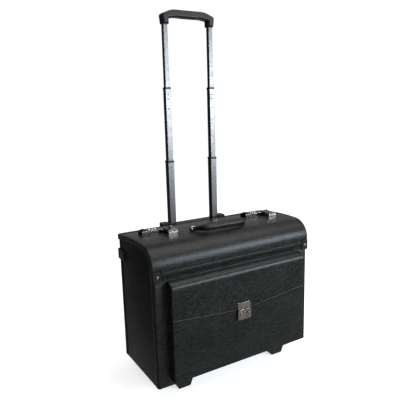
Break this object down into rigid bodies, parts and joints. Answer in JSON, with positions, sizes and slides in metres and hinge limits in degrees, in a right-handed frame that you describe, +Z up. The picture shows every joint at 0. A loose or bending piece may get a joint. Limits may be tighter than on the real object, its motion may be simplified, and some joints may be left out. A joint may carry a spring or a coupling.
{
  "type": "pilot rolling flight case",
  "caption": "Box-shaped leatherette flight case with a domed two-part lid, combination locks, a flap pocket, wheels and a telescopic trolley handle.",
  "frame": {"origin": "on the floor, under the middle of the case's bounding box", "axes": "+X across the width to the right seen from the front, -Y towards the front pocket, +Z up"},
  "size_m": [0.482, 0.276, 0.9576],
  "materials": {
    "leatherette": "fine grain, satin sheen",
    "lining": "woven",
    "nickel": "polished, slightly warm",
    "dial_metal": "satin",
    "black_plastic": "fine texture",
    "grip_plastic": "soft touch",
    "aluminium": "brushed, grey anodised",
    "tyre_rubber": "matt",
    "steel": "zinc plated"
  },
  "bodies": {
    "case": {"bottom_panel": "leatherette", "front_panel": "leatherette", "back_panel": "leatherette", "side_panel_left": "leatherette", "side_panel_right": "leatherette", "divider": "lining", "corner_tabs": "leatherette", "corner_rivets": "nickel", "pocket_base": "leatherette", "pocket_top": "leatherette", "pocket_front": "leatherette", "pocket_side_left": "leatherette", "pocket_side_right": "leatherette", "clasp_body": "nickel", "foot_left": "black_plastic", "foot_right": "black_plastic", "wheel_housing_left": "black_plastic", "wheel_housing_right": "black_plastic", "wheel_axles": "steel", "outer_tube_left": "aluminium", "outer_tube_right": "aluminium", "trolley_top_bracket": "black_plastic", "trolley_bottom_bracket": "black_plastic", "bracket_screws": "steel"},
    "rear_lid": {"rear_lid": "leatherette", "lock_body_left": "nickel", "lock_body_right": "nickel"},
    "front_lid": {"front_lid": "leatherette", "strikes": "nickel", "handle_posts": "nickel"},
    "carry_handle": {"handle_grip": "leatherette", "handle_rings": "nickel"},
    "pocket_flap": {"pocket_flap": "leatherette", "clasp_flap_plate": "nickel"},
    "key_cylinder": {"clasp_key_cylinder": "nickel"},
    "lower_stage": {"lower_tubes": "aluminium", "lower_collars": "black_plastic"},
    "middle_stage": {"middle_tubes": "aluminium", "middle_collars": "black_plastic"},
    "upper_stage": {"upper_tubes": "aluminium", "trolley_grip": "grip_plastic"},
    "grip_button": {"grip_button": "black_plastic"},
    "dial_left_1": {"dial_left_1": "dial_metal"},
    "dial_left_2": {"dial_left_2": "dial_metal"},
    "dial_left_3": {"dial_left_3": "dial_metal"},
    "lock_slider_left": {"lock_slider_left": "black_plastic"},
    "latch_left": {"latch_left": "nickel"},
    "clasp_button_left": {"clasp_button_left": "nickel"},
    "wheel_left": {"wheel_hub_left": "black_plastic", "tyre_left": "tyre_rubber"},
    "dial_right_1": {"dial_right_1": "dial_metal"},
    "dial_right_2": {"dial_right_2": "dial_metal"},
    "dial_right_3": {"dial_right_3": "dial_metal"},
    "lock_slider_right": {"lock_slider_right": "black_plastic"},
    "latch_right": {"latch_right": "nickel"},
    "clasp_button_right": {"clasp_button_right": "nickel"},
    "wheel_right": {"wheel_hub_right": "black_plastic", "tyre_right": "tyre_rubber"}
  },
  "joints": [
    {"name": "rear_lid_swing", "type": "hinge", "parent": "case", "child": "rear_lid", "pos_m": [0, 0.105, 0.37957], "axis": [-1, 0, 0], "range_deg": [0, 78]},
    {"name": "front_lid_swing", "type": "hinge", "parent": "case", "child": "front_lid", "pos_m": [0, -0.108, 0.32], "axis": [1, 0, 0], "range_deg": [0, 78]},
    {"name": "carry_handle_swing", "type": "hinge", "parent": "front_lid", "child": "carry_handle", "pos_m": [0, -0.009, 0.396], "axis": [-1, 0, 0], "range_deg": [0, 100]},
    {"name": "pocket_flap_swing", "type": "hinge", "parent": "case", "child": "pocket_flap", "pos_m": [0, -0.1278, 0.301], "axis": [-1, 0, 0], "range_deg": [0, 90]},
    {"name": "key_turn", "type": "hinge", "parent": "case", "child": "key_cylinder", "pos_m": [0, -0.134, 0.1856], "axis": [0, -1, 0], "range_deg": [0, 90]},
    {"name": "lower_stage_slide", "type": "slide", "parent": "case", "child": "lower_stage", "axis": [0, 0, 1], "range_m": [-0.175, 0]},
    {"name": "middle_stage_slide", "type": "slide", "parent": "lower_stage", "child": "middle_stage", "axis": [0, 0, 1], "range_m": [-0.192, 0]},
    {"name": "upper_stage_slide", "type": "slide", "parent": "middle_stage", "child": "upper_stage", "axis": [0, 0, 1], "range_m": [-0.161, 0]},
    {"name": "grip_button_press", "type": "slide", "parent": "upper_stage", "child": "grip_button", "axis": [0, 0, 1], "range_m": [0, 0.003], "stiffness_N_per_m": 400},
    {"name": "dial_left_1_turn", "type": "hinge", "parent": "rear_lid", "child": "dial_left_1", "pos_m": [-0.181, 0.029, 0.3955], "axis": [1, 0, 0], "continuous": true},
    {"name": "dial_left_2_turn", "type": "hinge", "parent": "rear_lid", "child": "dial_left_2", "pos_m": [-0.173, 0.029, 0.3955], "axis": [1, 0, 0], "continuous": true},
    {"name": "dial_left_3_turn", "type": "hinge", "parent": "rear_lid", "child": "dial_left_3", "pos_m": [-0.165, 0.029, 0.3955], "axis": [1, 0, 0], "continuous": true},
    {"name": "lock_slider_left_push", "type": "slide", "parent": "rear_lid", "child": "lock_slider_left", "axis": [1, 0, 0], "range_m": [0, 0.005], "stiffness_N_per_m": 150},
    {"name": "latch_left_lift", "type": "hinge", "parent": "rear_lid", "child": "latch_left", "pos_m": [-0.1335, 0.029, 0.3972], "axis": [-1, 0, 0], "range_deg": [0, 100]},
    {"name": "clasp_button_left_press", "type": "slide", "parent": "case", "child": "clasp_button_left", "axis": [0, 1, 0], "range_m": [0, 0.0018], "stiffness_N_per_m": 300},
    {"name": "wheel_left_roll", "type": "hinge", "parent": "case", "child": "wheel_left", "pos_m": [-0.165, 0.109, 0.029], "axis": [1, 0, 0], "continuous": true},
    {"name": "dial_right_1_turn", "type": "hinge", "parent": "rear_lid", "child": "dial_right_1", "pos_m": [0.141, 0.029, 0.3955], "axis": [1, 0, 0], "continuous": true},
    {"name": "dial_right_2_turn", "type": "hinge", "parent": "rear_lid", "child": "dial_right_2", "pos_m": [0.149, 0.029, 0.3955], "axis": [1, 0, 0], "continuous": true},
    {"name": "dial_right_3_turn", "type": "hinge", "parent": "rear_lid", "child": "dial_right_3", "pos_m": [0.157, 0.029, 0.3955], "axis": [1, 0, 0], "continuous": true},
    {"name": "lock_slider_right_push", "type": "slide", "parent": "rear_lid", "child": "lock_slider_right", "axis": [1, 0, 0], "range_m": [0, 0.005], "stiffness_N_per_m": 150},
    {"name": "latch_right_lift", "type": "hinge", "parent": "rear_lid", "child": "latch_right", "pos_m": [0.1885, 0.029, 0.3972], "axis": [-1, 0, 0], "range_deg": [0, 100]},
    {"name": "clasp_button_right_press", "type": "slide", "parent": "case", "child": "clasp_button_right", "axis": [0, 1, 0], "range_m": [0, 0.0018], "stiffness_N_per_m": 300},
    {"name": "wheel_right_roll", "type": "hinge", "parent": "case", "child": "wheel_right", "pos_m": [0.165, 0.109, 0.029], "axis": [1, 0, 0], "continuous": true}
  ],
  "couplings": [
    {"joint": "front_lid_swing", "follows": "rear_lid_swing", "ratio": 1}
  ]
}
